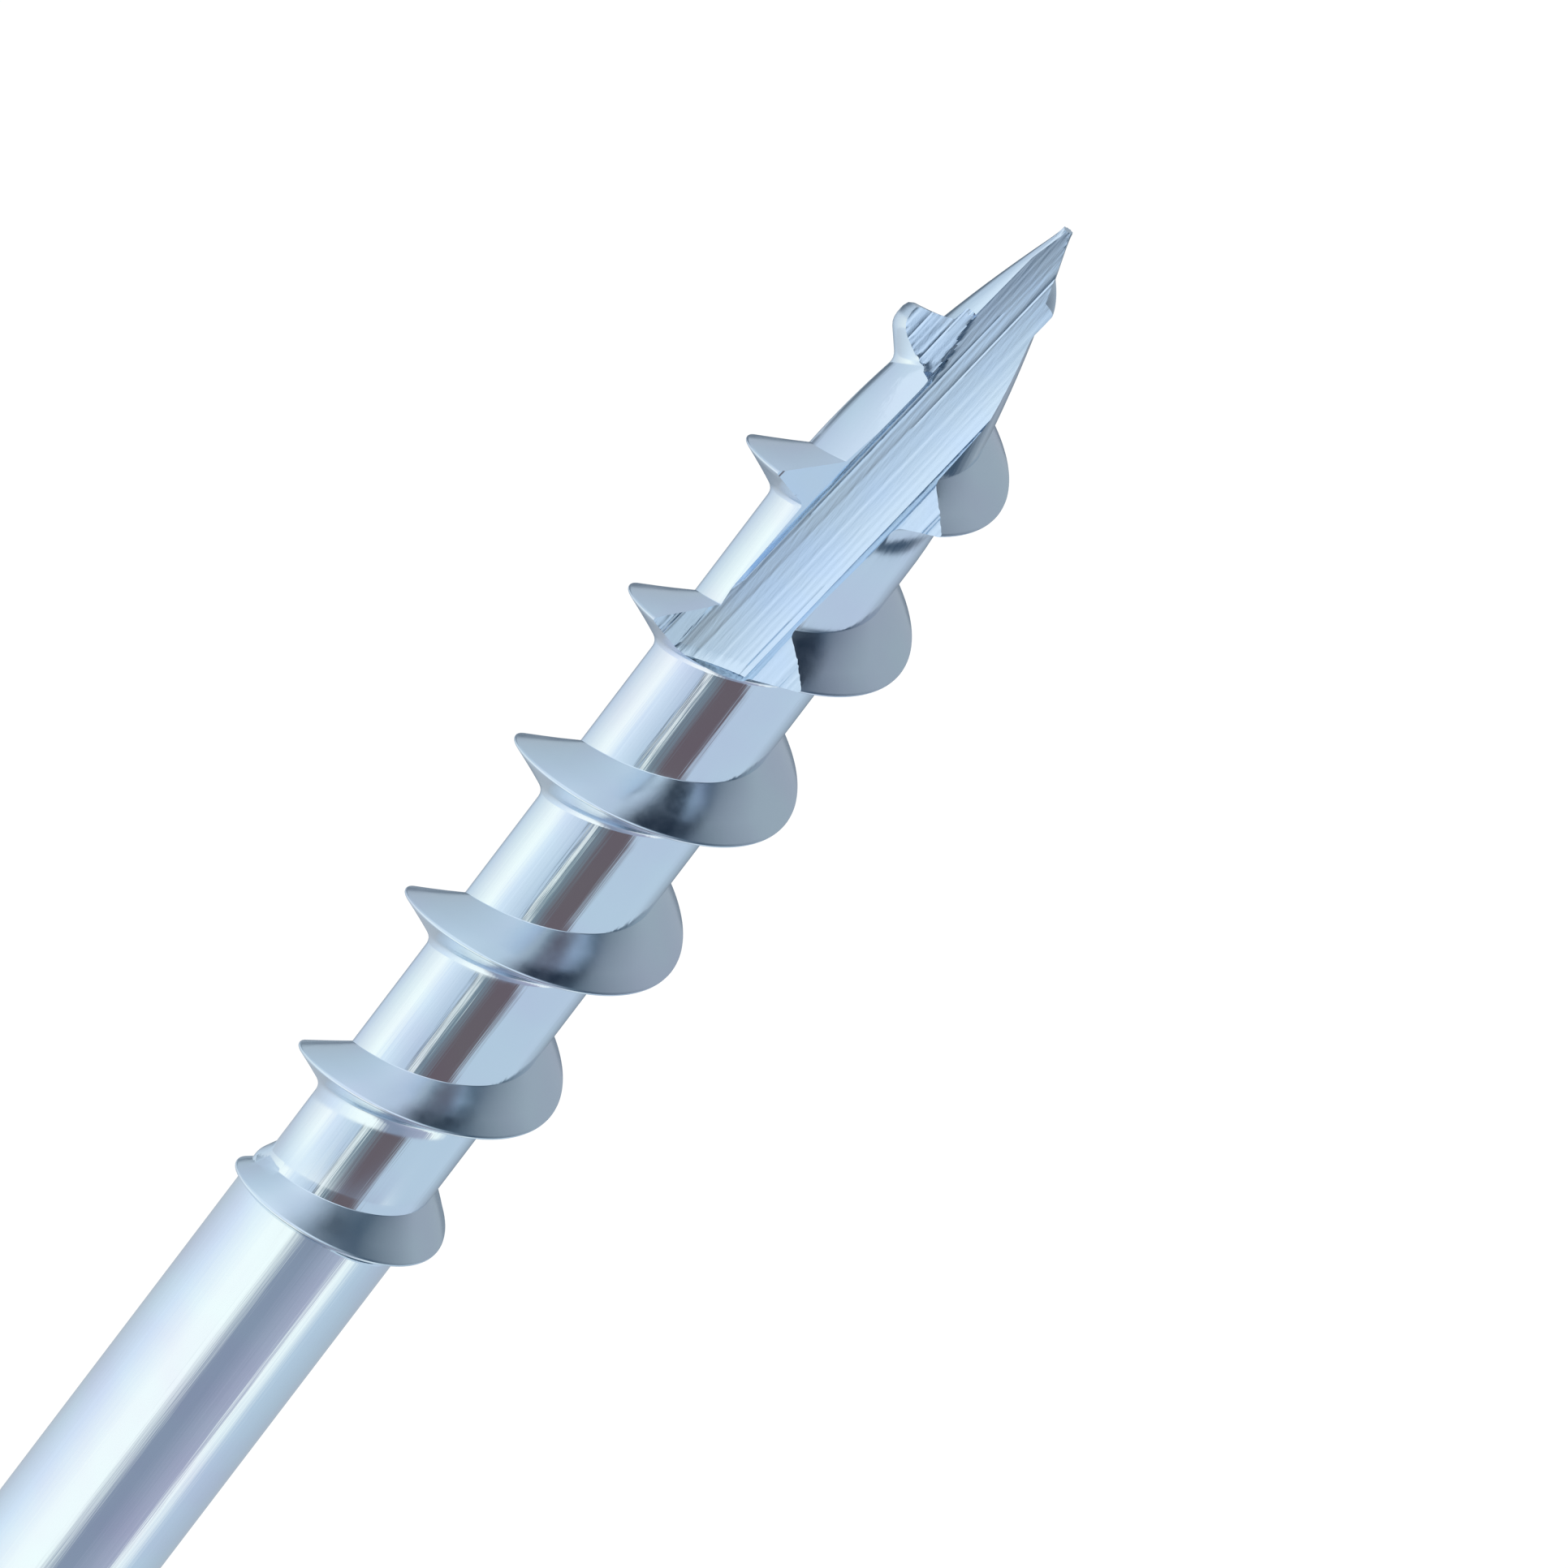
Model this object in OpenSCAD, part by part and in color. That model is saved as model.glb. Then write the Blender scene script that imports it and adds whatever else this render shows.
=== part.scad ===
// Pocket hole screw with a washer head, square drive, coarse thread and auger point.
// It stands on the flat top of its head with the point up.
// The origin is the centre of the head's top face, and +Z runs along the axis to the point.
// A station is a distance from the point, measured along the axis towards the head.

/* [Screw] */
// Length from the bearing face of the head to the point
screw_length = 31.75; // [28:0.25:64]
// Diameter of the plain shank
shank_d = 2.77; // [2.65:0.01:3.2]
// Length of the cone where the shank steps down to the thread's core
shoulder_len = 0.4; // [0.2:0.05:1]

/* [Thread] */
// Diameter over the crests of the full thread
major_d = 4.2; // [3.8:0.05:5]
// Diameter of the core between the threads
core_d = 2.48; // [2:0.02:2.6]
// Axial distance between neighbouring crests
pitch = 3.175; // [2.4:0.025:4]
// Length from the point to the shoulder of the shank
thread_len = 20.6; // [15:0.1:24]
// Slope of the flank that faces the point, from square to the axis
front_flank_angle = 34; // [20:1:40]
// Slope of the flank that faces the head, from square to the axis
rear_flank_angle = 27; // [15:1:40]
// Width of the land along the crest
crest_land = 0.05; // [0.03:0.01:0.2]
// Diameter over the crest where the thread starts to fade out
last_crest_d = 3.66; // [3.2:0.02:3.8]
// Direction in which the thread leaves the point, turned from +X
start_angle = 134; // [0:1:359]

/* [Point] */
// Length of the tapered point of the core
point_len = 6; // [4:0.1:9]
// Diameter of the blunt end
blunt_d = 0.12; // [0.08:0.01:0.3]
// Fullness of the point's curve, 1 for a plain cone
point_fullness = 1.65; // [1:0.05:2.5]
// Station at which the crest starts to rise
rise_start = 0.3; // [0:0.05:1]
// Length over which the crest rises to its full height
rise_len = 7.5; // [5:0.1:11]
// Fullness of the crest's rise, 1 for a straight one
rise_fullness = 2.5; // [1:0.05:3]

/* [Flute] */
// Diameter of the round cutter that milled the flute
flute_d = 3.15; // [2.4:0.05:4]
// Length of the flute from the point to where it has climbed out of the core
flute_len = 9; // [7:0.1:12]
// Offset of the flute's centre line to the side of the axis, at the point
flute_side = 0.63; // [0:0.01:1]
// Offset of the flute's centre line to the front of the axis, at the point
flute_front = 1.5; // [1.3:0.01:2]
// Angle at which the flute runs across the axis
flute_skew = 6.2; // [0:0.1:10]

/* [Head] */
// Diameter of the washer face
head_d = 10.2; // [8.5:0.1:13]
// Thickness of the washer at its rim
washer_t = 0.9; // [0.6:0.05:1.5]
// Radius of the washer's rim edges
rim_round = 0.25; // [0.1:0.05:0.3]
// Diameter of the crown above the washer
crown_d = 7.2; // [6:0.1:8]
// Height of the crown above the washer
crown_h = 1.8; // [1.4:0.05:3]
// Radius of the crown's top edge
crown_round = 0.5; // [0.2:0.05:0.8]
// Radius of the fillet between crown and washer
crown_fillet = 0.3; // [0.1:0.05:0.5]
// Radius of the fillet between shank and bearing face
neck_fillet = 0.35; // [0.1:0.05:0.6]

/* [Drive] */
// Width of the square recess across its flats
drive_w = 2.85; // [2.3:0.05:3.4]
// Depth of the square recess
drive_depth = 2; // [1.2:0.05:2.2]
// Width of the bevel around the mouth of the recess
drive_bevel = 0.2; // [0.1:0.05:0.4]

/* [Hidden] */

zinc = [0.78, 0.83, 0.88];
round_fn = 96;
arc_steps = 6;
// How far a cutter runs past the surface that it cuts, and a seat sinks into what carries it
overlap = 1;
sunk = 0.05;

head_h = washer_t + crown_h;
tip_z = head_h + screw_length;
core_r = core_d / 2;
shank_r = shank_d / 2;
blunt_r = blunt_d / 2;
flute_r = flute_d / 2;
// Angle at which the flute climbs from its depth at the point to the surface of the core
flute_rise = atan((core_r + flute_r - flute_front) / flute_len);

// The helix slows over its last stretch, and the crest shrinks and then fades into the shank
slow_len = 1;
slow_lead = 0.5;
slow_turn = (thread_len - slow_len) / pitch;
fade_lag = 0.13;
fade_start = slow_turn + fade_lag;
fade_turns = 1.1;
shrink_turns = 2.1;
shrink_start = fade_start - shrink_turns;
end_turn = fade_start + fade_turns + 1;
least_height = 0.03;

// The threaded body is one closed skin: columns of points follow the helix from the point
// to the shank, and each column holds the rows of one pitch
columns = 48;
section_rows = 4;
bare_rows = 2;
rows = section_rows + bare_rows;
last_column = columns + ceil(end_turn * columns);

function portion(x) = min(max(x, 0), 1);
function smooth(x) = portion(x) * portion(x) * (3 - 2 * portion(x));

// Radius of the core at a station
function core_at(s) = blunt_r + (core_r - blunt_r)
    * (1 - pow(1 - portion(s / point_len), point_fullness));

// Station of the crest after a number of turns
function crest_station(turn) = (crest_land / 2 + least_height * tan(front_flank_angle))
    + pitch * (min(turn, slow_turn) + max(turn - slow_turn, 0) * slow_lead);

// Radius of the crest after a number of turns
function shrunk_crest(turn) = (major_d - (major_d - last_crest_d)
    * portion((turn - shrink_start) / shrink_turns)) / 2;
function risen_crest(turn, s) = shrunk_crest(turn)
    * (1 - pow(1 - portion((s - rise_start) / rise_len), rise_fullness));
function thread_height(turn, s) = max(least_height,
    (risen_crest(turn, s) - core_at(s)) * (1 - smooth((turn - fade_start) / fade_turns)));

// Turns of the helix at a column, below zero on the bare end of the point
function turn_of(i) = i / columns - 1;

// Station at which a column starts: the foot of the thread's front flank
function foot_station(i) = i <= columns ? 0
    : let(turn = turn_of(min(i, last_column)), s = crest_station(turn))
      s - crest_land / 2 - thread_height(turn, s) * tan(front_flank_angle);

// Rows of a column with no thread, spread evenly from its start to the next turn's start
function plain_rows(from, to) = [
    for (j = [0 : rows - 1])
        let(s = from + (to - from) * j / rows) [s, core_at(s)]
];

// Rows of a column with the thread's section: front flank, crest, rear flank and bare core
function thread_rows(turn, to) =
    let(s = crest_station(turn),
        height = thread_height(turn, s),
        front = s - crest_land / 2,
        rear = s + crest_land / 2,
        crest = core_at(s) + height,
        front_foot = front - height * tan(front_flank_angle),
        rear_foot = rear + height * tan(rear_flank_angle),
        bare_step = (to - rear_foot) / (bare_rows + 1))
    [
        [front_foot, core_at(front_foot)],
        [front, crest],
        [rear, crest],
        [rear_foot, core_at(rear_foot)],
        for (j = [1 : bare_rows])
            let(bare = rear_foot + j * bare_step) [bare, core_at(bare)]
    ];

function column_rows(i) = i < columns || i > last_column - columns
    ? plain_rows(foot_station(i), foot_station(i + columns))
    : thread_rows(turn_of(i), foot_station(i + columns));

// Point of the skin at a column, from its station and radius
function skin_point(i, place) =
    let(angle = start_angle - 360 * i / columns)
    [place[1] * cos(angle), place[1] * sin(angle), tip_z - place[0]];

// Number of a point in the skin's list
// Past its last row a column goes on with the next turn
function skin_index(i, j) = j == rows ? skin_index(i + columns, 0)
    : i == 0 || (i == columns && j == 0) ? 0
    : i >= last_column ? 1 + (last_column - 1) * rows + i - last_column
    : 1 + (i - 1) * rows + j;

module threaded_body() {
    end_station = foot_station(last_column);
    points = [
        skin_point(0, [0, blunt_r]),
        for (i = [1 : last_column - 1])
            for (place = column_rows(i)) skin_point(i, place),
        for (i = [last_column : last_column + columns - 1])
            skin_point(i, [end_station, core_at(end_station)])
    ];
    blunt_end = [for (i = [0 : columns - 1]) skin_index(i, 0)];
    buried_end = [for (i = [columns - 1 : -1 : 0]) skin_index(last_column + i, 0)];
    first_fan = [for (j = [0 : rows - 1]) [0, skin_index(1, j + 1), skin_index(1, j)]];
    last_fan = [
        for (j = [0 : rows - 1])
            [skin_index(last_column - 1, j), skin_index(last_column - 1, j + 1),
             skin_index(last_column, 0)]
    ];
    strips = [
        for (i = [1 : last_column - 2])
            for (j = [0 : rows - 1])
                each [
                    [skin_index(i, j), skin_index(i + 1, j + 1), skin_index(i + 1, j)],
                    [skin_index(i, j), skin_index(i, j + 1), skin_index(i + 1, j + 1)]
                ]
    ];
    polyhedron(points, concat([blunt_end, buried_end], first_fan, last_fan, strips), convexity = 12);
}

// Arc of points about a centre
function corner_arc(centre, r, from, to) = [
    for (k = [0 : arc_steps])
        let(a = from + (to - from) * k / arc_steps) centre + r * [cos(a), sin(a)]
];

// Head and plain shank, turned from one outline of radius against height
module head_and_shank() {
    head_r = head_d / 2;
    crown_r = crown_d / 2;
    shoulder_z = tip_z - thread_len;
    outline = concat(
        [[0, 0]],
        corner_arc([crown_r - crown_round, crown_round], crown_round, -90, 0),
        corner_arc([crown_r + crown_fillet, crown_h - crown_fillet], crown_fillet, 180, 90),
        corner_arc([head_r - rim_round, crown_h + rim_round], rim_round, -90, 0),
        corner_arc([head_r - rim_round, head_h - rim_round], rim_round, 0, 90),
        corner_arc([shank_r + neck_fillet, head_h + neck_fillet], neck_fillet, -90, -180),
        [
            [shank_r, shoulder_z],
            [core_r - sunk, shoulder_z + shoulder_len],
            [0, shoulder_z + shoulder_len]
        ]
    );
    rotate_extrude($fn = round_fn) polygon(outline);
}

// Square socket in the top of the head, with a beveled mouth
module drive_recess() {
    linear_extrude(height = drive_depth) square(drive_w, center = true);
    mouth_r = drive_w / 2 + drive_bevel;
    cylinder(h = mouth_r, r1 = mouth_r, r2 = 0, $fn = round_fn);
}

// Round-bottomed groove milled along one side of the point
module flute() {
    translate([flute_side, -flute_front, tip_z])
        rotate([-flute_rise, flute_skew, 0])
            translate([0, 0, -flute_len - overlap])
                cylinder(h = flute_len + 2 * overlap, r = flute_r, $fn = round_fn);
}

module screw() {
    color(zinc)
        difference() {
            union() {
                threaded_body();
                head_and_shank();
            }
            drive_recess();
            flute();
        }
}

screw();
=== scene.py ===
"""Pocket hole screw in bright zinc plate, with its milled flute, on a white set."""
import math
import random
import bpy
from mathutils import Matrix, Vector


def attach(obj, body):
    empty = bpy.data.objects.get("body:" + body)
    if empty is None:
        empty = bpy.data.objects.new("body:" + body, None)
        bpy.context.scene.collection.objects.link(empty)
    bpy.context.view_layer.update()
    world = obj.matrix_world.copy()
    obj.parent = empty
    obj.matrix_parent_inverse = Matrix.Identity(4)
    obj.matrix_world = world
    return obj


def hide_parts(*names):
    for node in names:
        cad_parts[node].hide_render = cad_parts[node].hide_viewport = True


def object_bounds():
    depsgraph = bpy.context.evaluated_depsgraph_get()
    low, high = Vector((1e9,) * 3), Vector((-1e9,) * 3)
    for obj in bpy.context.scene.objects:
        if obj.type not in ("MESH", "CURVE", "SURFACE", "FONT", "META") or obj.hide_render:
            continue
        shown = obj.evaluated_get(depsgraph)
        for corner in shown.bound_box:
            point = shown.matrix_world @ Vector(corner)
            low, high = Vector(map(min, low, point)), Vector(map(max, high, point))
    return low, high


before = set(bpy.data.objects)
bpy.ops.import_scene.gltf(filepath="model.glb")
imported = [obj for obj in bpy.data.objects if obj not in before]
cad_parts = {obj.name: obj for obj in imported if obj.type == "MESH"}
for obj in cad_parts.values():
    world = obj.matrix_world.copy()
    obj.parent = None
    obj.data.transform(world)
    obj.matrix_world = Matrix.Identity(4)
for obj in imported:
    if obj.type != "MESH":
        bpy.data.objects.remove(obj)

from types import SimpleNamespace

import bmesh
import bpy
from bpy.props import FloatProperty, FloatVectorProperty, IntProperty, PointerProperty
from mathutils import Matrix, Vector

bl_info = {
    "name": "Pocket Hole Screw",
    "version": (1, 0, 0),
    "blender": (4, 5, 0),
    "location": "View3D > Sidebar > Screw",
    "description": "Models a zinc-plated pocket hole screw and the white set that it stands on",
    "category": "Add Mesh",
}

CAD_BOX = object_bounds()
MM = 0.001
# Width of the solid, which is that of its washer, in millimetres
SOLID_WIDTH = (CAD_BOX[1].x - CAD_BOX[0].x) / MM

# The helix slows over its last stretch, and the crest shrinks and then fades into the shank
SLOW_LENGTH = 0.7
SLOW_LEAD = 0.5
FADE_LAG = 0.07
FADE_TURNS = 1.1
SHRINK_TURNS = 2.1
# How much more the front flank slopes where the thread fades out
FADE_LEAN = math.radians(9)
LEAST_HEIGHT = 0.015
# How far a tool runs past the surface that it cuts, and a seat sinks into what carries it
OVERLAP = 1.0
SUNK = 0.05
# Rows of faces along the thread's section, and turns that run past the point
FILLET_ROWS = 4
FLANK_ROWS = 3
CREST_ROWS = 3
BARE_ROWS = 8
LEAD_TURNS = 1
# How sharply the flute's floor climbs out at its end, in millimetres per square millimetre
CLIMB_OUT = 20
# How that end slants along the third tooth, as length along the flute per width across it
END_SLANT = 0.45
# Slope at which the cut through the first left tooth climbs on its half towards the head
CUT_CLIMB = 0.4
# How far before the middle of that tooth the floor starts to narrow, in lengths of its cut
NARROWING = 0.4
# Slopes of the flute's side walls, and of its flares through the teeth above them
WALL_SLOPE = 10
FLARE_SLOPE = 0.75
# Width of the flute's cutter in diameters, and the height of its block in radii
CUTTER_SPREAD = 1.4
CUTTER_HEIGHT = 4
# Share of the cutter's ridges that are grooves, and how many times as many are on its left half
GROOVE_SHARE = 0.1
LEFT_GROOVES = 2.5
# Depth of a groove in heights of a ridge, and how much a ridge swells and fades on its way
GROOVE_DEPTH = 3
RIDGE_SWELL = 0.5
# Material slots of the drawn core and shank, the milled flute and the rolled thread
BRIGHT, MILLED, ROLLED = range(3)
# Height above the core from which a face of the thread counts as its flank
FLANK_START = 0.012
# Most of the thread's height that a fillet may take
FILLET_SHARE = 0.4
# The turn at which the first crest is pushed over, and the turns to either side that it takes
UPSET_TURN = 0.85
UPSET_TURNS = 0.22
# The turn from which the long rear flank of the first turn shortens, and the turns that it takes
EASE_TURN = 0.7
EASE_TURNS = 0.5
# Distances in millimetres at which points of a turned outline count as one, points of the
# finished mesh are welded, and its edges count as slivers
SAME_POINT = 0.001
WELD = 0.0005
SLIVER = 0.0002
# Share of a row's height within which points of the helix are welded
ROW_WELD = 0.1
# Angle from which an edge stays sharp
SHARP_ANGLE = math.radians(35)
# Size of the patches of thicker passivate film in millimetres, and the range of the pattern
# over which the film's tint comes in
FILM_SIZE = 1.6
FILM_RANGE = (0.4, 0.7)
# How the tool's lines are drawn out along the metal, and the range of the pattern that they use
LINE_STRETCH = 0.02
LINE_RANGE = (0.3, 0.7)
# Finishes of the metal: least and most roughness, then width and depth of the tool's lines in
# millimetres. Real lines are too fine to show, so they are drawn as coarse as it takes.
BRIGHT_FINISH = ((0.05, 0.1), 0.08, 0.004)
MILLED_FINISH = ((0.1, 0.17), 0.05, 0.004)
ROLLED_FINISH = ((0.16, 0.24), 0.3, 0.001)


def linear(code):
    """Turns an sRGB hex colour into linear values."""
    values = [int(code[start:start + 2], 16) / 255 for start in (0, 2, 4)]
    return tuple(v / 12.92 if v <= 0.04045 else ((v + 0.055) / 1.055) ** 2.4 for v in values)


def length(name, description, size):
    """A length for a property group, given in millimetres and kept in metres."""
    return FloatProperty(
        name=name, description=description, default=size * MM, min=0, precision=5, unit="LENGTH"
    )


def angle(name, description, degrees):
    """An angle for a property group, given in degrees."""
    return FloatProperty(
        name=name, description=description, default=math.radians(degrees), subtype="ANGLE"
    )


def colour(name, description, code):
    """A colour for a property group, given as an sRGB hex value."""
    return FloatVectorProperty(
        name=name, description=description, default=linear(code), min=0, max=1, subtype="COLOR"
    )


class ThreadSizes(bpy.types.PropertyGroup):
    """Sizes of the thread and the core that carries it."""

    major_d: length("Major diameter", "Diameter over the crests of the full thread", 4.2)
    core_d: length("Core diameter", "Diameter of the core between the threads", 2.48)
    pitch: length("Pitch", "Axial distance between neighbouring crests", 3.175)
    length: length("Length", "Length from the point to the shoulder of the shank", 20.6)
    front_flank: angle("Front flank", "Slope of the flank that faces the point", 34)
    rear_flank: angle("Rear flank", "Slope of the flank that faces the head", 27)
    crest_land: length("Crest land", "Width of the land along the crest", 0.05)
    last_crest_d: length("Last crest", "Diameter over the crest where the thread fades out", 3.66)
    start_angle: angle("Start", "Direction in which the thread leaves the point", 134)
    front_fillet: length("Front fillet", "Reach of the fillet at the foot of the front flank", 0.01)
    rear_fillet: length("Rear fillet", "Reach of the fillet at the foot of the rear flank", 0.12)
    upset: length("Upset", "How far the first crest is pushed over towards the point", 0.26)
    ease: length("Ease", "How much longer the rear flank is on the first turn", 0.3)
    columns: IntProperty(
        name="Columns", description="Columns of faces in one turn of the thread", default=144, min=24
    )


class PointSizes(bpy.types.PropertyGroup):
    """Sizes of the tapered point."""

    length: length("Length", "Length of the tapered point of the core", 6)
    blunt_d: length("Blunt end", "Diameter of the blunt end", 0.12)
    fullness: FloatProperty(
        name="Fullness", description="Fullness of the point's curve, 1 for a plain cone", default=1.65
    )
    rise_start: length("Rise start", "Station at which the crest starts to rise", 0.3)
    rise_length: length("Rise length", "Length over which the crest rises to its full height", 7.5)
    rise_fullness: FloatProperty(
        name="Rise fullness", description="Fullness of the crest's rise, 1 for a straight one",
        default=2.5,
    )


class FluteSizes(bpy.types.PropertyGroup):
    """Sizes of the flute milled along one side of the point."""

    diameter: length("Diameter", "Diameter of the round cutter that milled the flute", 3.15)
    length: length("Length", "Length from the point to where the flute has left the core", 9)
    side: length("Side offset", "Offset of the centre line to the side of the axis", 0.63)
    front: length("Front offset", "Offset of the centre line to the front of the axis", 1.5)
    skew: angle("Skew", "Angle at which the flute runs across the axis", 6.2)
    climb: angle("Climb", "Angle at which the floor climbs towards the head", 6.8)
    climb_out: length("Climb out", "Station from which the floor climbs out of the core", 8.95)
    width: length("Width", "Width of the floor between the side walls", 1.1)
    hollow: length("Hollow", "How far the floor is hollow across its width", 0.08)
    tilt: angle("Tilt", "Angle at which the floor leans to the side at the point", 7.7)
    tilt_length: length("Tilt length", "Length from the point over which the floor levels out", 4)
    tip_reach: length("Tip reach", "How much further left the cut reaches near the point", 0.2)
    left_depth: length("Left depth", "Depth at which the left wall flares out", 0.56)
    right_wall: length("Right wall", "Height of the right wall up to its flare", 0.33)
    cut_station: length("Cut tooth", "Station of the left tooth that is cut off", 2.55)
    cut_length: length("Cut length", "Length over which the left tooth is cut off", 1.4)
    cut_fade: length("Cut fade", "Length over which that cut runs out", 0.15)
    cut_rise: length("Cut rise", "How much shallower that cut is than the floor", 0.04)
    ridge_width: length("Ridge width", "Width of a ridge that the cutter left", 0.027)
    ridge_height: length("Ridge height", "Height of a ridge that the cutter left", 0.0035)
    ridge_step: length("Ridge step", "Length over which a ridge changes", 0.1)
    seed: IntProperty(name="Seed", description="Start of the random ridges", default=7)


class HeadSizes(bpy.types.PropertyGroup):
    """Sizes of the head, its drive and the plain shank."""

    head_d: length("Washer diameter", "Diameter of the washer face", SOLID_WIDTH)
    washer_t: length("Washer thickness", "Thickness of the washer at its rim", 0.9)
    rim_round: length("Rim round", "Radius of the washer's rim edges", 0.25)
    crown_d: length("Crown diameter", "Diameter of the crown above the washer", 7.2)
    crown_h: length("Crown height", "Height of the crown above the washer", 1.8)
    crown_round: length("Crown round", "Radius of the crown's top edge", 0.5)
    crown_fillet: length("Crown fillet", "Radius of the fillet between crown and washer", 0.3)
    neck_fillet: length("Neck fillet", "Radius of the fillet between shank and bearing face", 0.35)
    shank_d: length("Shank diameter", "Diameter of the plain shank", 2.77)
    shoulder_len: length("Shoulder", "Length of the cone where the shank steps down", 0.4)
    shoulder_round: length("Shoulder round", "Radius of the shoulder's outer edge", 0.05)
    drive_w: length("Drive width", "Width of the square recess across its flats", 2.85)
    drive_depth: length("Drive depth", "Depth of the square recess", 2)
    drive_bevel: length("Drive bevel", "Width of the bevel around the mouth of the recess", 0.2)
    drive_round: length("Drive corner", "Radius of the recess's corners", 0.2)


class FinishColours(bpy.types.PropertyGroup):
    """Colours of the plated metal and of the set."""

    zinc: colour("Zinc", "Clear blue zinc plate", "D3E1EA")
    zinc_violet: colour("Violet zinc", "Zinc plate where the passivate film is thicker", "D2DAE8")
    milled: colour("Milled zinc", "Zinc plate on the milled flute", "CFE0F2")
    floor: colour("Floor", "White floor", "FAFBFC")


def millimetres(group):
    """The values of a property group, with its lengths in millimetres."""
    values = {}
    for name in group.__annotations__:
        value = getattr(group, name)
        if getattr(group.bl_rna.properties[name], "unit", "NONE") == "LENGTH":
            value /= MM
        values[name] = value
    return SimpleNamespace(**values)


def portion(value):
    """Limits a share to the range from 0 to 1."""
    return min(max(value, 0), 1)


def smooth(value):
    """A share that starts and ends gently."""
    share = portion(value)
    return share * share * (3 - 2 * share)


def toward(start, end, distance):
    """The point at a distance from start on the line to end."""
    return start + (end - start).normalized() * distance


def rounded(start, corner, end, rows):
    """Points that round a corner, from start to end."""
    points = []
    for row in range(rows + 1):
        share = row / rows
        points.append(
            start * (1 - share) ** 2 + corner * 2 * share * (1 - share) + end * share ** 2
        )
    return points


def between(start, end, rows):
    """Points that divide the line from start to end into rows, without its ends."""
    return [start.lerp(end, row / rows) for row in range(1, rows)]


class ThreadForm:
    """The thread on its core, in millimetres, as functions of the turn and the station.

    A station is a distance from the point along the axis, and turns count from the point.
    """

    def __init__(self, thread, point):
        self.thread = thread
        self.point = point
        self.half_land = thread.crest_land / 2
        self.first_station = self.half_land + LEAST_HEIGHT * math.tan(thread.front_flank)
        self.slow_turn = (thread.length - SLOW_LENGTH) / thread.pitch
        self.fade_start = self.slow_turn + FADE_LAG
        self.end_turn = self.fade_start + FADE_TURNS + 1

    def on_core(self, station):
        """The point on the bare core at a station, as station and radius."""
        blunt_r = self.point.blunt_d / 2
        share = 1 - (1 - portion(station / self.point.length)) ** self.point.fullness
        return Vector((station, blunt_r + (self.thread.core_d / 2 - blunt_r) * share))

    def crest(self, turn):
        """Station of the crest at a turn, and the thread's height there above the core."""
        thread = self.thread
        led = min(turn, self.slow_turn) + SLOW_LEAD * max(turn - self.slow_turn, 0)
        station = self.first_station + thread.pitch * led
        shrunk = portion((turn - self.fade_start) / SHRINK_TURNS + 1)
        diameter = thread.major_d - (thread.major_d - thread.last_crest_d) * shrunk
        risen = portion((station - self.point.rise_start) / self.point.rise_length)
        radius = diameter / 2 * (1 - (1 - risen) ** self.point.rise_fullness)
        kept = 1 - smooth((turn - self.fade_start) / FADE_TURNS)
        return station, max(LEAST_HEIGHT, (radius - self.on_core(station).y) * kept)

    def front_foot(self, turn):
        """Station of the front flank's foot at a turn, and the reach of its fillet."""
        station, height = self.crest(turn)
        lean = FADE_LEAN * smooth((turn - self.fade_start) / FADE_TURNS + 1)
        foot = station - self.half_land - height * math.tan(self.thread.front_flank + lean)
        return foot, min(self.thread.front_fillet, FILLET_SHARE * height)

    def section(self, turn):
        """Points of the section at a turn, from the front fillet to that of the next turn."""
        thread = self.thread
        station, height = self.crest(turn)
        top = Vector((station, self.on_core(station).y + height))
        upset = thread.upset * smooth(1 - abs(turn - UPSET_TURN) / UPSET_TURNS)
        front_edge = top - Vector((self.half_land + upset, 0))
        rear_edge = top + Vector((self.half_land + upset / 2, 0))
        foot, front_reach = self.front_foot(turn)
        front_foot = self.on_core(foot)
        ease = thread.ease * (1 - smooth((turn - EASE_TURN) / EASE_TURNS))
        rear_foot = self.on_core(rear_edge.x + height * math.tan(thread.rear_flank) + ease)
        rear_reach = min(thread.rear_fillet, FILLET_SHARE * height)
        front_low = toward(front_foot, front_edge, front_reach)
        front_high = toward(front_edge, front_foot, self.half_land + upset / 3)
        rear_high = toward(rear_edge, rear_foot, self.half_land + upset / 3)
        rear_low = toward(rear_foot, rear_edge, rear_reach)
        start = self.on_core(front_foot.x - front_reach)
        end = self.on_core(rear_foot.x + rear_reach)
        next_foot, next_reach = self.front_foot(turn + 1)
        next_start = self.on_core(next_foot - next_reach)
        points = rounded(start, front_foot, front_low, FILLET_ROWS)
        points += between(front_low, front_high, FLANK_ROWS)
        points += rounded(front_high, front_edge, top, CREST_ROWS)
        points += rounded(top, rear_edge, rear_high, CREST_ROWS)[1:]
        points += between(rear_high, rear_low, FLANK_ROWS)
        points += rounded(rear_low, rear_foot, end, FILLET_ROWS)
        points += [self.on_core(bare.x) for bare in between(end, next_start, BARE_ROWS)]
        return points


def cut_flat(bm, height, keep_below):
    """Cuts a closed tube flat at a height, and caps it there."""
    everything = bm.verts[:] + bm.edges[:] + bm.faces[:]
    cut = bmesh.ops.bisect_plane(
        bm, geom=everything, dist=0, plane_co=(0, 0, height), plane_no=(0, 0, 1),
        clear_outer=keep_below, clear_inner=not keep_below,
    )
    rim = [part for part in cut["geom_cut"] if isinstance(part, bmesh.types.BMEdge)]
    bmesh.ops.edgeloop_fill(bm, edges=rim)


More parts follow.
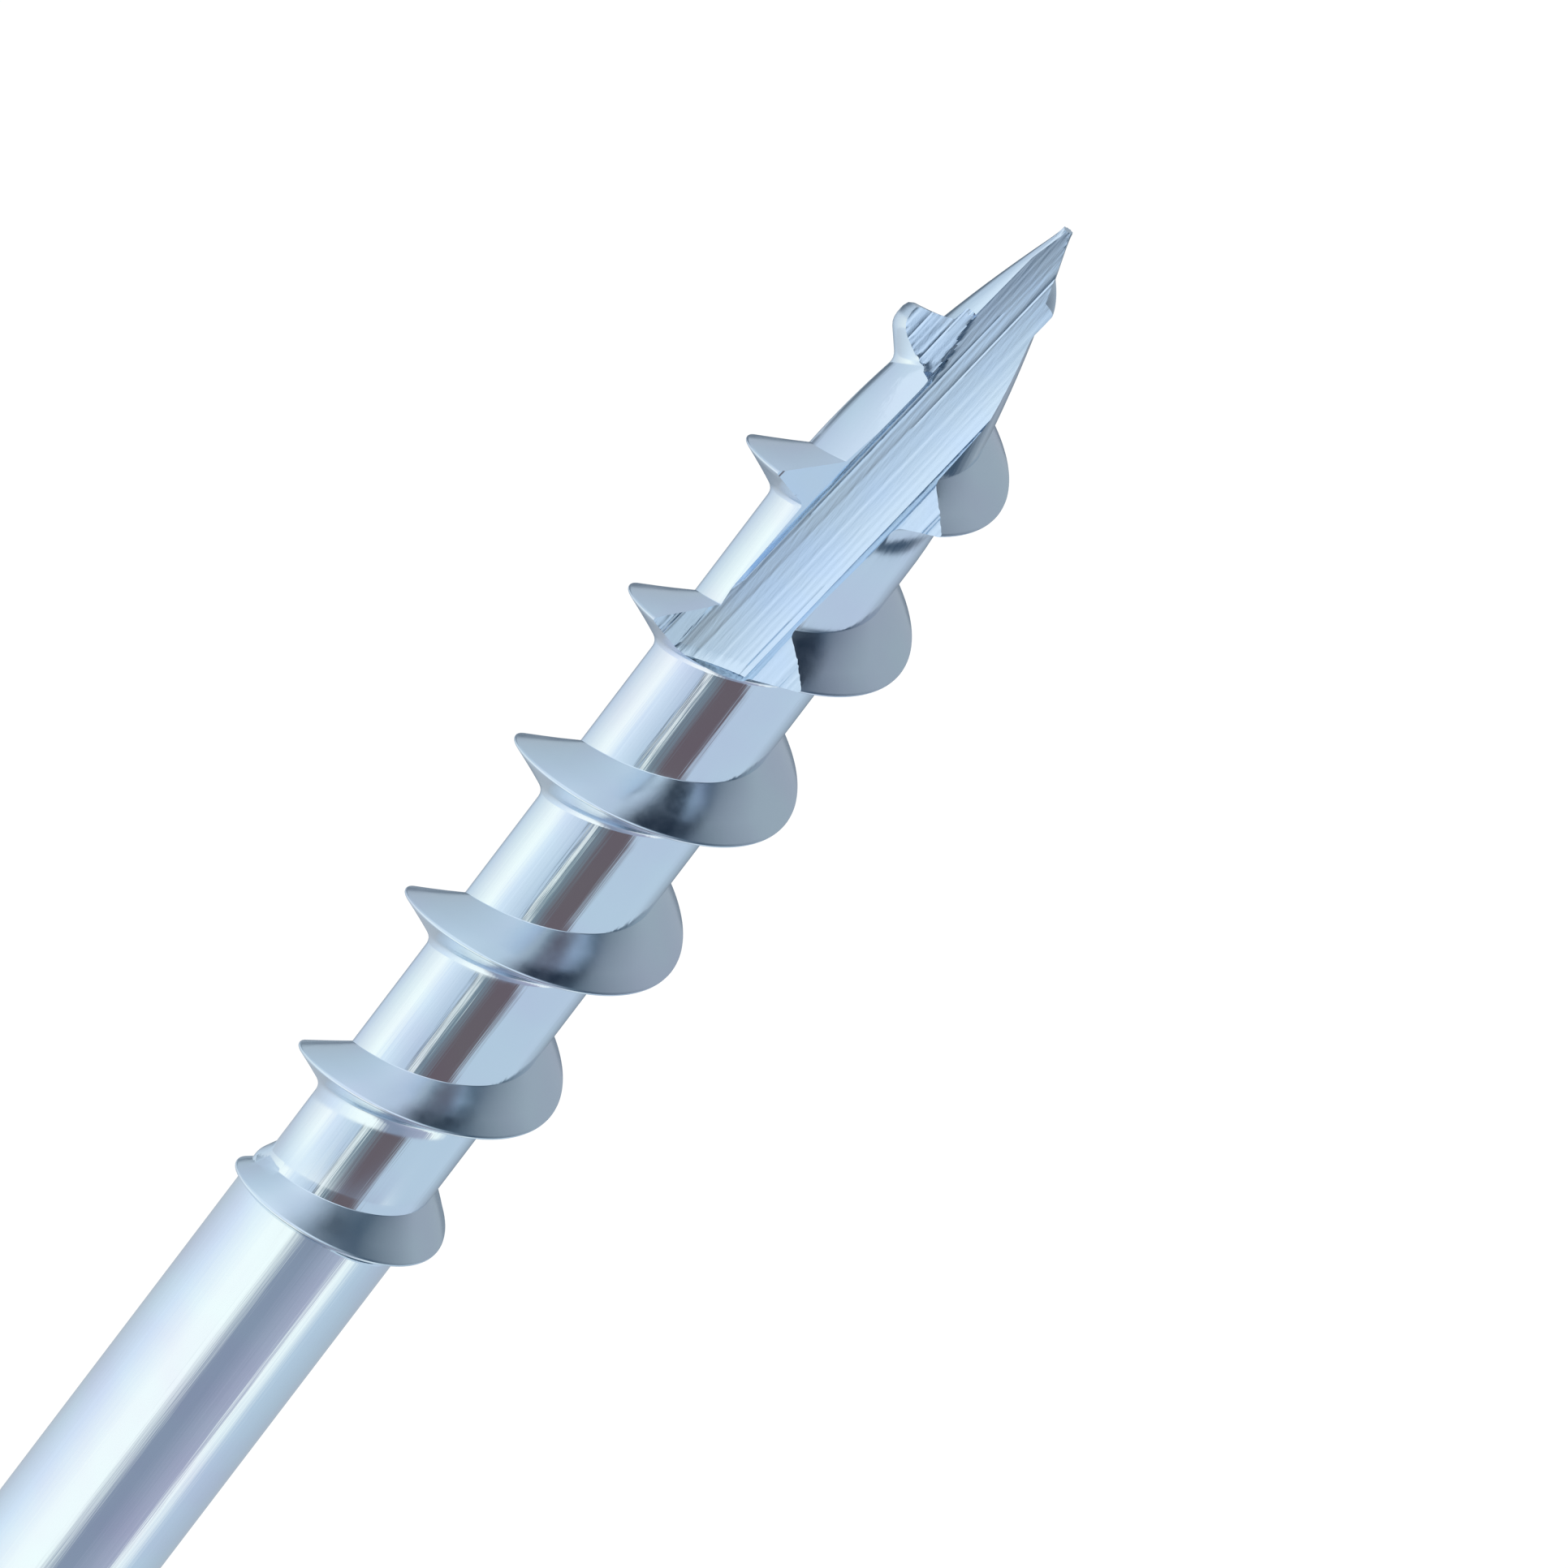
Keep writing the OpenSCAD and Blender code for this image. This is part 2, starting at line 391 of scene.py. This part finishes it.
def spun_outline(bm, outline, columns):
    """Turns an outline of radius against height about the axis into a closed body."""
    line = [bm.verts.new((radius, 0, height)) for radius, height in outline]
    edges = [bm.edges.new(ends) for ends in zip(line, line[1:])]
    bmesh.ops.spin(
        bm, geom=line + edges, cent=(0, 0, 0), axis=(0, 0, 1), angle=math.tau, steps=columns,
        use_merge=True,
    )
    bmesh.ops.remove_doubles(bm, verts=bm.verts, dist=SAME_POINT)
    bmesh.ops.recalc_face_normals(bm, faces=bm.faces)


def round_ring(bm, radius, height, offset, segments):
    """Rounds the ring of edges at a radius and height."""

    def on_ring(vert):
        aside = abs(vert.co.xy.length - radius)
        return aside < SAME_POINT and abs(vert.co.z - height) < SAME_POINT

    ring = [edge for edge in bm.edges if all(on_ring(vert) for vert in edge.verts)]
    bmesh.ops.bevel(
        bm, geom=ring, offset=offset, offset_type="OFFSET", affect="EDGES", segments=segments,
        profile=0.5, material=-1, clamp_overlap=True,
    )


def threaded_body(form, tip):
    """The core with its thread: one section spun into a helix and shaped turn by turn."""
    columns = form.thread.columns
    rows = len(form.section(0))
    turns = LEAD_TURNS + math.ceil(form.end_turn)
    bm = bmesh.new()
    line = [bm.verts.new((1, 0, -row / rows)) for row in range(rows + 1)]
    edges = [bm.edges.new(ends) for ends in zip(line, line[1:])]
    bmesh.ops.spin(
        bm, geom=line + edges, cent=(0, 0, 0), axis=(0, 0, -1), dvec=(0, 0, -1 / columns),
        angle=turns * math.tau, steps=turns * columns,
    )
    bmesh.ops.remove_doubles(bm, verts=bm.verts, dist=ROW_WELD / rows)
    sections = {}
    for vert in bm.verts:
        turned = -math.atan2(vert.co.y, vert.co.x) / math.tau
        row = round((-vert.co.z - turned) % 1 * rows) % rows
        column = round((-vert.co.z - row / rows) * columns)
        turn = column / columns - LEAD_TURNS
        if column not in sections:
            sections[column] = form.section(turn)
        station, radius = sections[column][row]
        direction = form.thread.start_angle - math.tau * turn
        vert.co = (radius * math.cos(direction), radius * math.sin(direction), tip - station)
    cut_flat(bm, tip, keep_below=True)
    cut_flat(bm, tip - form.thread.length - OVERLAP, keep_below=False)
    bmesh.ops.recalc_face_normals(bm, faces=bm.faces)
    for face in bm.faces:
        centre = face.calc_center_median()
        height = centre.xy.length - form.on_core(tip - centre.z).y
        face.material_index = ROLLED if height > FLANK_START else BRIGHT
    return bm


def head_and_shank(head, thread, tip):
    """The washer head and plain shank, turned from one outline."""
    head_r = head.head_d / 2
    crown_r = head.crown_d / 2
    shank_r = head.shank_d / 2
    head_h = head.crown_h + head.washer_t
    shoulder = tip - thread.length
    step = shoulder + head.shoulder_len
    outline = (
        (0, 0), (crown_r, 0), (crown_r, head.crown_h), (head_r, head.crown_h), (head_r, head_h),
        (shank_r, head_h), (shank_r, shoulder), (thread.core_d / 2 - SUNK, step), (0, step),
    )
    bm = bmesh.new()
    spun_outline(bm, outline, thread.columns)
    round_ring(bm, crown_r, 0, head.crown_round, segments=6)
    round_ring(bm, crown_r, head.crown_h, head.crown_fillet, segments=5)
    round_ring(bm, head_r, head.crown_h, head.rim_round, segments=5)
    round_ring(bm, head_r, head_h, head.rim_round, segments=5)
    round_ring(bm, shank_r, head_h, head.neck_fillet, segments=5)
    round_ring(bm, shank_r, shoulder, head.shoulder_round, segments=3)
    bmesh.ops.recalc_face_normals(bm, faces=bm.faces)
    return bm


def flute_depth(flute, across, station):
    """How far the flute's surface lies behind its centre line, at a place across it."""
    half_width = flute.width / 2
    if across < 0:
        past_cut = (station - flute.cut_station) / flute.cut_length
        half_width += flute.tip_reach * (1 - smooth(past_cut + NARROWING))
    share = min(abs(across) / half_width, 1)
    beyond = max(abs(across) - half_width, 0)
    out = max(station - flute.climb_out + END_SLANT * across, 0)
    floor = flute.diameter / 2 - math.tan(flute.climb) * station - CLIMB_OUT * out ** 2
    lean = math.tan(flute.tilt) * (1 - smooth(station / flute.tilt_length))
    floor += lean * across - flute.hollow * share ** 2
    flare_top = floor - flute.right_wall
    cut = 0
    if across < 0:
        inside_cut = flute.cut_length / 2 - abs(station - flute.cut_station)
        cut = smooth(inside_cut / flute.cut_fade)
        rise = flute.cut_rise + CUT_CLIMB * max(station - flute.cut_station, 0)
        flare_top = flute.left_depth + cut * (floor - rise - flute.left_depth)
    flare = min(flare_top, floor) - FLARE_SLOPE * (1 - cut) * beyond
    return max(floor - WALL_SLOPE * beyond, flare)


def flute_cutter(flute, tip):
    """The cutter of the flute: a block whose back face has the flute's form and fine ridges."""
    radius = flute.diameter / 2
    reach = flute.length + 2 * OVERLAP
    width = 2 * radius * CUTTER_SPREAD
    columns = round(width / flute.ridge_width)
    draw = random.Random(flute.seed)
    ridges = []
    phases = []
    for column in range(columns + 1):
        chance = GROOVE_SHARE * (LEFT_GROOVES if 2 * column < columns else 1)
        groove = GROOVE_DEPTH if draw.random() < chance else 0
        ridges.append(draw.uniform(-1, 1) + groove)
        phases.append(draw.uniform(0, math.tau))
    bm = bmesh.new()
    rows = math.ceil(reach / flute.ridge_step)
    bmesh.ops.create_grid(bm, x_segments=columns, y_segments=rows, size=0.5)
    for vert in bm.verts:
        column = round((vert.co.x + 0.5) * columns)
        across = vert.co.x * width
        station = (0.5 - vert.co.y) * reach - OVERLAP - END_SLANT * across
        swell = 1 + RIDGE_SWELL * math.cos(station / reach * math.tau + phases[column])
        ridge = flute.ridge_height * ridges[column] * swell
        vert.co = (across, flute_depth(flute, across, station) + ridge, -station)
    block = bmesh.ops.extrude_face_region(bm, geom=bm.faces[:], use_keep_orig=True)["geom"]
    front = [part for part in block if isinstance(part, bmesh.types.BMVert)]
    bmesh.ops.translate(bm, verts=front, vec=(0, -CUTTER_HEIGHT * radius, 0))
    place = Matrix.Translation((flute.side, -flute.front, tip))
    turn = Matrix.Rotation(flute.skew, 4, "Y")
    bmesh.ops.transform(bm, matrix=place @ turn, verts=bm.verts)
    bmesh.ops.recalc_face_normals(bm, faces=bm.faces)
    for face in bm.faces:
        face.material_index = MILLED
    return bm


def drive_socket(head):
    """The square punch of the drive recess."""
    depth = head.drive_depth + OVERLAP
    bm = bmesh.new()
    bmesh.ops.create_cube(bm, size=1)
    bmesh.ops.scale(bm, vec=(head.drive_w, head.drive_w, depth), verts=bm.verts)
    bmesh.ops.translate(bm, vec=(0, 0, depth / 2 - OVERLAP), verts=bm.verts)
    corners = [edge for edge in bm.edges if edge.verts[0].co.xy == edge.verts[1].co.xy]
    bmesh.ops.bevel(
        bm, geom=corners, offset=head.drive_round, offset_type="OFFSET", affect="EDGES", segments=4,
        profile=0.5, material=-1,
    )
    return bm


def drive_mouth(head, columns):
    """The cone that bevels the mouth of the drive recess."""
    depth = head.drive_w / 2 + head.drive_bevel + OVERLAP
    bm = bmesh.new()
    bmesh.ops.create_cone(bm, cap_ends=True, segments=columns, radius1=depth, radius2=0, depth=depth)
    bmesh.ops.translate(bm, vec=(0, 0, depth / 2 - OVERLAP), verts=bm.verts)
    return bm


def add_object(name, bm, materials):
    """Makes an object of a bmesh, with its material slots."""
    mesh = bpy.data.meshes.new(name)
    bm.to_mesh(mesh)
    bm.free()
    for material in materials:
        mesh.materials.append(material)
    piece = bpy.data.objects.new(name, mesh)
    bpy.context.scene.collection.objects.link(piece)
    return piece


def combine(piece, tool, operation):
    """Joins a tool to a piece or cuts it away, and drops the tool."""
    boolean = piece.modifiers.new("Combine", "BOOLEAN")
    boolean.solver = "MANIFOLD"
    boolean.operation = operation
    boolean.object = tool
    evaluated = piece.evaluated_get(bpy.context.evaluated_depsgraph_get())
    mesh = bpy.data.meshes.new_from_object(evaluated)
    piece.modifiers.clear()
    old_mesh = piece.data
    piece.data = mesh
    for unused in (old_mesh, tool.data):
        bpy.data.meshes.remove(unused)


def finish_mesh(piece):
    """Brings the mesh to metres, smooths it and keeps its cut and steep edges sharp."""
    mesh = piece.data
    bm = bmesh.new()
    bm.from_mesh(mesh)
    bmesh.ops.remove_doubles(bm, verts=bm.verts, dist=WELD)
    bmesh.ops.dissolve_degenerate(bm, edges=bm.edges, dist=SLIVER)
    bmesh.ops.recalc_face_normals(bm, faces=bm.faces)
    for face in bm.faces:
        face.smooth = True
    for edge in bm.edges:
        kinds = {face.material_index == MILLED for face in edge.link_faces}
        edge.smooth = len(kinds) == 1 and edge.calc_face_angle(0) < SHARP_ANGLE
    bmesh.ops.scale(bm, vec=(MM, MM, MM), verts=bm.verts)
    bm.to_mesh(mesh)
    bm.free()
    weighted = piece.modifiers.new("Weighted Normal", "WEIGHTED_NORMAL")
    weighted.mode = "FACE_AREA_WITH_ANGLE"
    weighted.keep_sharp = True


def add_node(tree, kind, inputs=None, stops=None, **settings):
    """Adds a node with its settings, the values or links of its inputs and its ramp's stops."""
    node = tree.nodes.new(kind)
    for name, value in settings.items():
        setattr(node, name, value)
    for name, value in (inputs or {}).items():
        if isinstance(value, bpy.types.NodeSocket):
            tree.links.new(value, node.inputs[name])
        else:
            node.inputs[name].default_value = value
    if stops:
        ramp = node.color_ramp
        while len(ramp.elements) < len(stops):
            ramp.elements.new(1)
        for element, (position, code) in zip(ramp.elements, stops):
            element.position = position
            element.color = (*linear(code), 1)
    return node


def pattern_scale(size):
    """The scale at which a pattern on metres repeats about every so many millimetres."""
    return 1 / (size * MM)


def zinc_plate(name, colours, turn, roughness, streak, depth):
    """Bright zinc plate with a clear blue passivate.

    It mirrors like soft chrome with a cold blue cast, which drifts to violet where the passivate
    film is thicker. The lines of the tool that made the surface run through its gloss: streak
    is their width and depth their depth, in millimetres.
    """
    base, tint = colours
    material = bpy.data.materials.new(name)
    material.use_nodes = True
    tree = material.node_tree
    tree.nodes.clear()
    place = add_node(tree, "ShaderNodeTexCoord").outputs["Object"]
    film = add_node(
        tree, "ShaderNodeTexNoise",
        {"Vector": place, "Scale": pattern_scale(FILM_SIZE), "Detail": 2.0, "Roughness": 0.5},
    ).outputs["Fac"]
    film_share = add_node(
        tree, "ShaderNodeMapRange",
        {"Value": film, "From Min": FILM_RANGE[0], "From Max": FILM_RANGE[1]},
    ).outputs["Result"]
    shade = add_node(
        tree, "ShaderNodeMix",
        {"Factor": film_share, "A": (*base, 1), "B": (*tint, 1)},
        data_type="RGBA",
    )
    along = add_node(
        tree, "ShaderNodeMapping",
        {"Vector": place, "Rotation": turn, "Scale": (1, 1, LINE_STRETCH)},
    ).outputs["Vector"]
    lines = add_node(
        tree, "ShaderNodeTexNoise",
        {"Vector": along, "Scale": pattern_scale(streak), "Detail": 3.0, "Roughness": 0.6},
    ).outputs["Fac"]
    gloss = add_node(
        tree, "ShaderNodeMapRange",
        {
            "Value": lines, "From Min": LINE_RANGE[0], "From Max": LINE_RANGE[1],
            "To Min": roughness[0], "To Max": roughness[1],
        },
    ).outputs["Result"]
    relief = add_node(
        tree, "ShaderNodeBump",
        {"Height": lines, "Strength": 1.0, "Distance": depth * MM},
    ).outputs["Normal"]
    shader = add_node(
        tree, "ShaderNodeBsdfPrincipled",
        {
            "Base Color": shade.outputs["Result"], "Metallic": 1.0, "Roughness": gloss,
            "Normal": relief,
        },
    )
    add_node(tree, "ShaderNodeOutputMaterial", {"Surface": shader.outputs["BSDF"]})
    return material


class MESH_OT_zinc_screw_add(bpy.types.Operator):
    """Model the plated screw in place of the plain solid"""

    bl_idname = "mesh.zinc_screw_add"
    bl_label = "Add Zinc Screw"
    bl_options = {"REGISTER", "UNDO"}

    def execute(self, context):
        scene = context.scene
        thread = millimetres(scene.thread_sizes)
        point = millimetres(scene.point_sizes)
        flute = millimetres(scene.flute_sizes)
        head = millimetres(scene.head_sizes)
        finish = scene.finish_colours
        tip = CAD_BOX[1].z / MM
        upright = (0, 0, 0)
        skewed = (0, -flute.skew, 0)
        zinc = (finish.zinc, finish.zinc_violet)
        milled_zinc = (finish.milled, finish.zinc)
        materials = (
            zinc_plate("bright_zinc_plate", zinc, upright, *BRIGHT_FINISH),
            zinc_plate("milled_zinc_plate", milled_zinc, skewed, *MILLED_FINISH),
            zinc_plate("rolled_zinc_plate", zinc, upright, *ROLLED_FINISH),
        )
        form = ThreadForm(thread, point)
        screw = add_object("zinc_screw", threaded_body(form, tip), materials)
        cutter = flute_cutter(flute, tip)
        combine(screw, add_object("flute", cutter, materials), "DIFFERENCE")
        shank = add_object("shank", head_and_shank(head, thread, tip), materials)
        combine(shank, add_object("socket", drive_socket(head), materials), "DIFFERENCE")
        mouth = drive_mouth(head, thread.columns)
        combine(shank, add_object("mouth", mouth, materials), "DIFFERENCE")
        combine(screw, shank, "UNION")
        finish_mesh(screw)
        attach(screw, "root")
        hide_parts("screw")
        return {"FINISHED"}


# Tones of the painted reflections that the floor shows polished metal, and of the world's glossy
# light, from white to near black
WHITE = "F8F8F0"
PALE = "D8E0E8"
SILVER = "B8C4D0"
LILAC = "A8A8B8"
GREY = "98A0A8"
VIOLET = "8890A0"
STEEL = "788890"
SLATE = "606C78"
BROWN = "685C60"
INK = "405060"
DARK_CARD = "102030"
# The rings' places, as degrees from the front to the right and tones. On the floor these rings are
# painted reflections: the shank mirrors a white band beside a violet one and a thin white strip, and
# the threaded core a white band, a thin white strip and a brown band. The flute mirrors the pale low
# ring and the horizon's, which go dark on the right, and the flanks mirror the world's high bands,
# which are dark in front.
NEAR_PAINTED_REFLECTIONS = (
    (-180, GREY), (-90, PALE), (-40, WHITE), (-15, WHITE), (5, VIOLET), (20, VIOLET),
    (60, LILAC), (70, WHITE), (90, SILVER), (180, GREY),
)
FAR_PAINTED_REFLECTIONS = (
    (-180, SLATE), (-150, SILVER), (-85, WHITE), (-65, PALE), (-30, SILVER), (-26, SLATE),
    (-22, WHITE), (-15, STEEL), (5, BROWN), (30, BROWN), (40, SILVER), (120, SILVER),
    (180, SLATE),
)
LOW_PAINTED_REFLECTIONS = (
    (-180, SLATE), (-150, SLATE), (-130, SILVER), (-30, PALE), (10, SILVER), (30, GREY),
    (50, SLATE), (70, INK), (100, INK), (140, GREY), (180, SLATE),
)
# The horizon's tones are a painted reflection on the floor, and the world's glossy light beyond it
HORIZON_REFLECTED_TONES = (
    (-180, GREY), (-120, SILVER), (-80, PALE), (-20, PALE), (10, SILVER), (40, SLATE),
    (60, INK), (120, GREY), (180, GREY),
)
HIGH_CARDS = (
    (-180, GREY), (-120, SILVER), (-75, SILVER), (-20, SLATE), (45, INK), (120, GREY),
    (180, GREY),
)
# The direction of the dark card above the screw, and the cosines at its edge and its core
DARK_WAY = Vector((-0.06, -0.07, 0.996))
DARK_EDGE = 0.945
DARK_CORE = 0.98
# Strength at which the floor's painted reflections and the world's glossy light glow
REFLECTION_STRENGTH = 1.4
# Where on the floor the far, the low and the horizon rings of painted reflection begin
FAR_START = 35.5 * MM
LOW_START = 88 * MM
HORIZON_START = 300 * MM
# Share of these reaches over which one ring of painted reflection blends into the next
RING_BLEND = 0.03
# Sines of the heights between which the high cards take over from the horizon's
HIGH_START = 0.68
HIGH_END = 0.85
# How much of the floor's white is its own glow to the camera
FLOOR_GLOW = 0.7


def tone_ring(tree, place, mirrored_tones):
    """Colours of a ring of tones, by the direction of a place from the axis."""
    part = add_node(tree, "ShaderNodeSeparateXYZ", {"Vector": place}).outputs
    front = add_node(tree, "ShaderNodeMath", {0: part["Y"], 1: -1.0}, operation="MULTIPLY")
    direction = add_node(
        tree, "ShaderNodeMath", {0: part["X"], 1: front.outputs[0]}, operation="ARCTAN2"
    )
    share = add_node(
        tree, "ShaderNodeMapRange",
        {"Value": direction.outputs[0], "From Min": -math.pi, "From Max": math.pi},
    )
    stops = [((degrees + 180) / 360, code) for degrees, code in mirrored_tones]
    ramp = add_node(tree, "ShaderNodeValToRGB", {"Fac": share.outputs["Result"]}, stops)
    return ramp.outputs["Color"]


def white_floor(base):
    """White paper: it takes the screw's shadow, and glows to glossy rays only with rings of tones, a
    painted reflection that polished metal mirrors.
    """
    material = bpy.data.materials.new("white_paper")
    material.use_nodes = True
    tree = material.node_tree
    tree.nodes.clear()
    path = add_node(tree, "ShaderNodeLightPath").outputs
    place = add_node(tree, "ShaderNodeTexCoord").outputs["Object"]
    reach = add_node(tree, "ShaderNodeVectorMath", {0: place}, operation="LENGTH").outputs["Value"]
    # Painted reflection: rings of tones, shown only to glossy rays, stand in for reflectors and dark
    # flags that are not in the scene
    mirrored_tones = tone_ring(tree, place, NEAR_PAINTED_REFLECTIONS)
    for start, ring in (
        (FAR_START, FAR_PAINTED_REFLECTIONS), (LOW_START, LOW_PAINTED_REFLECTIONS), (HORIZON_START, HORIZON_REFLECTED_TONES)
    ):
        share = add_node(
            tree, "ShaderNodeMapRange",
            {
                "Value": reach, "From Min": start * (1 - RING_BLEND),
                "From Max": start * (1 + RING_BLEND),
            },
        ).outputs["Result"]
        mirrored_tones = add_node(
            tree, "ShaderNodeMix",
            {"Factor": share, "A": mirrored_tones, "B": tone_ring(tree, place, ring)},
            data_type="RGBA",
        ).outputs["Result"]
    # The floor glows with these tones for glossy rays only: a painted reflection, not a lamp
    mirrored = add_node(tree, "ShaderNodeEmission", {"Color": mirrored_tones, "Strength": REFLECTION_STRENGTH})
    paper = add_node(tree, "ShaderNodeBsdfDiffuse", {"Color": (*base, 1)})
    glow = add_node(tree, "ShaderNodeEmission", {"Strength": 1.0})
    seen = add_node(
        tree, "ShaderNodeMath", {0: path["Is Camera Ray"], 1: FLOOR_GLOW}, operation="MULTIPLY"
    )
    plain = add_node(
        tree, "ShaderNodeMixShader",
        {"Fac": seen.outputs[0], 1: paper.outputs[0], 2: glow.outputs[0]},
    )
    surface = add_node(
        tree, "ShaderNodeMixShader",
        {"Fac": path["Is Glossy Ray"], 1: plain.outputs[0], 2: mirrored.outputs[0]},
    )
    add_node(tree, "ShaderNodeOutputMaterial", {"Surface": surface.outputs[0]})
    return material


def white_world(scene):
    """A white room, in which polished metal sees the horizon and the high tones of the world's light.
    """
    world = bpy.data.worlds.new("white_room")
    world.use_nodes = True
    tree = world.node_tree
    tree.nodes.clear()
    path = add_node(tree, "ShaderNodeLightPath").outputs
    place = add_node(tree, "ShaderNodeTexCoord").outputs["Generated"]
    height = add_node(tree, "ShaderNodeSeparateXYZ", {"Vector": place}).outputs["Z"]
    nearness = add_node(
        tree, "ShaderNodeVectorMath", {0: place, 1: DARK_WAY}, operation="DOT_PRODUCT"
    ).outputs["Value"]
    mirrored_tones = tone_ring(tree, place, HORIZON_REFLECTED_TONES)
    for value, start, end, other in (
        (height, HIGH_START, HIGH_END, tone_ring(tree, place, HIGH_CARDS)),
        (nearness, DARK_EDGE, DARK_CORE, (*linear(DARK_CARD), 1)),
    ):
        share = add_node(
            tree, "ShaderNodeMapRange", {"Value": value, "From Min": start, "From Max": end}
        ).outputs["Result"]
        mirrored_tones = add_node(
            tree, "ShaderNodeMix", {"Factor": share, "A": mirrored_tones, "B": other}, data_type="RGBA"
        ).outputs["Result"]
    mirrored = add_node(tree, "ShaderNodeBackground", {"Color": mirrored_tones, "Strength": REFLECTION_STRENGTH})
    plain = add_node(tree, "ShaderNodeBackground", {"Color": (1, 1, 1, 1), "Strength": 1.0})
    surface = add_node(
        tree, "ShaderNodeMixShader",
        {"Fac": path["Is Glossy Ray"], 1: plain.outputs[0], 2: mirrored.outputs[0]},
    )
    add_node(tree, "ShaderNodeOutputWorld", {"Surface": surface.outputs[0]})
    scene.world = world


# The photograph's view: how far the camera looks down, how the screw's axis leans in the frame,
# the point at the frame's centre and the height that the frame covers
LOOK_DOWN = math.radians(22)
AXIS_UP = (0.6065, 0.7951)
AIM = Vector((1.688, -3.559, 25.64)) * MM
FRAME_HEIGHT = 24.30 * MM
# A long lens and its sensor in millimetres, and the camera's nearest and furthest sight in metres
LENS = 800
SENSOR = 36
CLIP_START = 0.01
CLIP_END = 10


def add_camera(scene):
    """The camera at the photograph's viewing angle, far off with a long lens."""
    back = Vector((0, -math.cos(LOOK_DOWN), math.sin(LOOK_DOWN)))
    side = Vector((1, 0, 0))
    axis = Vector((0, math.sin(LOOK_DOWN), math.cos(LOOK_DOWN)))
    right = side * AXIS_UP[1] + axis * AXIS_UP[0]
    up = axis * AXIS_UP[1] - side * AXIS_UP[0]
    turn = Matrix((right, up, back)).transposed().to_4x4()
    data = bpy.data.cameras.new("camera")
    data.lens = LENS
    data.sensor_width = SENSOR
    data.clip_start = CLIP_START
    data.clip_end = CLIP_END
    camera = bpy.data.objects.new("camera", data)
    distance = FRAME_HEIGHT * LENS / SENSOR
    camera.matrix_world = Matrix.Translation(AIM + back * distance) @ turn
    scene.collection.objects.link(camera)
    scene.camera = camera


# Radius of the floor in metres, and how far it lies under the head so that the two don't touch
FLOOR_RADIUS = 1.5
FLOOR_DROP = 0.01 * MM
# The soft box: its diameter and place in metres, and its power in watts
LAMP_SIZE = 0.4
LAMP_PLACE = (-0.15, -0.1, 0.5)
LAMP_POWER = 0.6


class SCENE_OT_white_set_add(bpy.types.Operator):
    """Add the white floor, the soft light and the camera"""

    bl_idname = "scene.white_set_add"
    bl_label = "Add White Set"
    bl_options = {"REGISTER", "UNDO"}

    def execute(self, context):
        scene = context.scene
        bm = bmesh.new()
        bmesh.ops.create_circle(bm, cap_ends=True, segments=64, radius=FLOOR_RADIUS)
        bmesh.ops.translate(bm, verts=bm.verts, vec=(0, 0, -FLOOR_DROP))
        floor = add_object("white_floor", bm, [white_floor(scene.finish_colours.floor)])
        white_world(scene)
        lamp = bpy.data.lights.new("soft_box", "AREA")
        lamp.shape = "DISK"
        lamp.size = LAMP_SIZE
        lamp.energy = LAMP_POWER
        soft_box = bpy.data.objects.new("soft_box", lamp)
        soft_box.location = LAMP_PLACE
        soft_box.rotation_mode = "QUATERNION"
        soft_box.rotation_quaternion = soft_box.location.to_track_quat("Z", "Y")
        soft_box.visible_glossy = False
        scene.collection.objects.link(soft_box)
        add_camera(scene)
        scene.view_settings.view_transform = "Standard"
        return {"FINISHED"}


class VIEW3D_PT_screw(bpy.types.Panel):
    """Sizes and colours of the screw"""

    bl_label = "Pocket Hole Screw"
    bl_space_type = "VIEW_3D"
    bl_region_type = "UI"
    bl_category = "Screw"

    def draw(self, context):
        for name, group in GROUPS.items():
            box = self.layout.box()
            box.label(text=group.__doc__)
            for value in group.__annotations__:
                box.prop(getattr(context.scene, name), value)
        self.layout.operator(MESH_OT_zinc_screw_add.bl_idname)
        self.layout.operator(SCENE_OT_white_set_add.bl_idname)


GROUPS = {
    "thread_sizes": ThreadSizes,
    "point_sizes": PointSizes,
    "flute_sizes": FluteSizes,
    "head_sizes": HeadSizes,
    "finish_colours": FinishColours,
}
CLASSES = (*GROUPS.values(), MESH_OT_zinc_screw_add, SCENE_OT_white_set_add, VIEW3D_PT_screw)


def register():
    """Registers the classes and gives the scene their values."""
    for kind in CLASSES:
        bpy.utils.register_class(kind)
    for name, group in GROUPS.items():
        setattr(bpy.types.Scene, name, PointerProperty(type=group))


def unregister():
    """Takes the values and the classes away again."""
    for name in GROUPS:
        delattr(bpy.types.Scene, name)
    for kind in reversed(CLASSES):
        bpy.utils.unregister_class(kind)


def main():
    """Makes the screw and its set."""
    register()
    bpy.ops.mesh.zinc_screw_add()
    bpy.ops.scene.white_set_add()


if __name__ == "__main__":
    main()
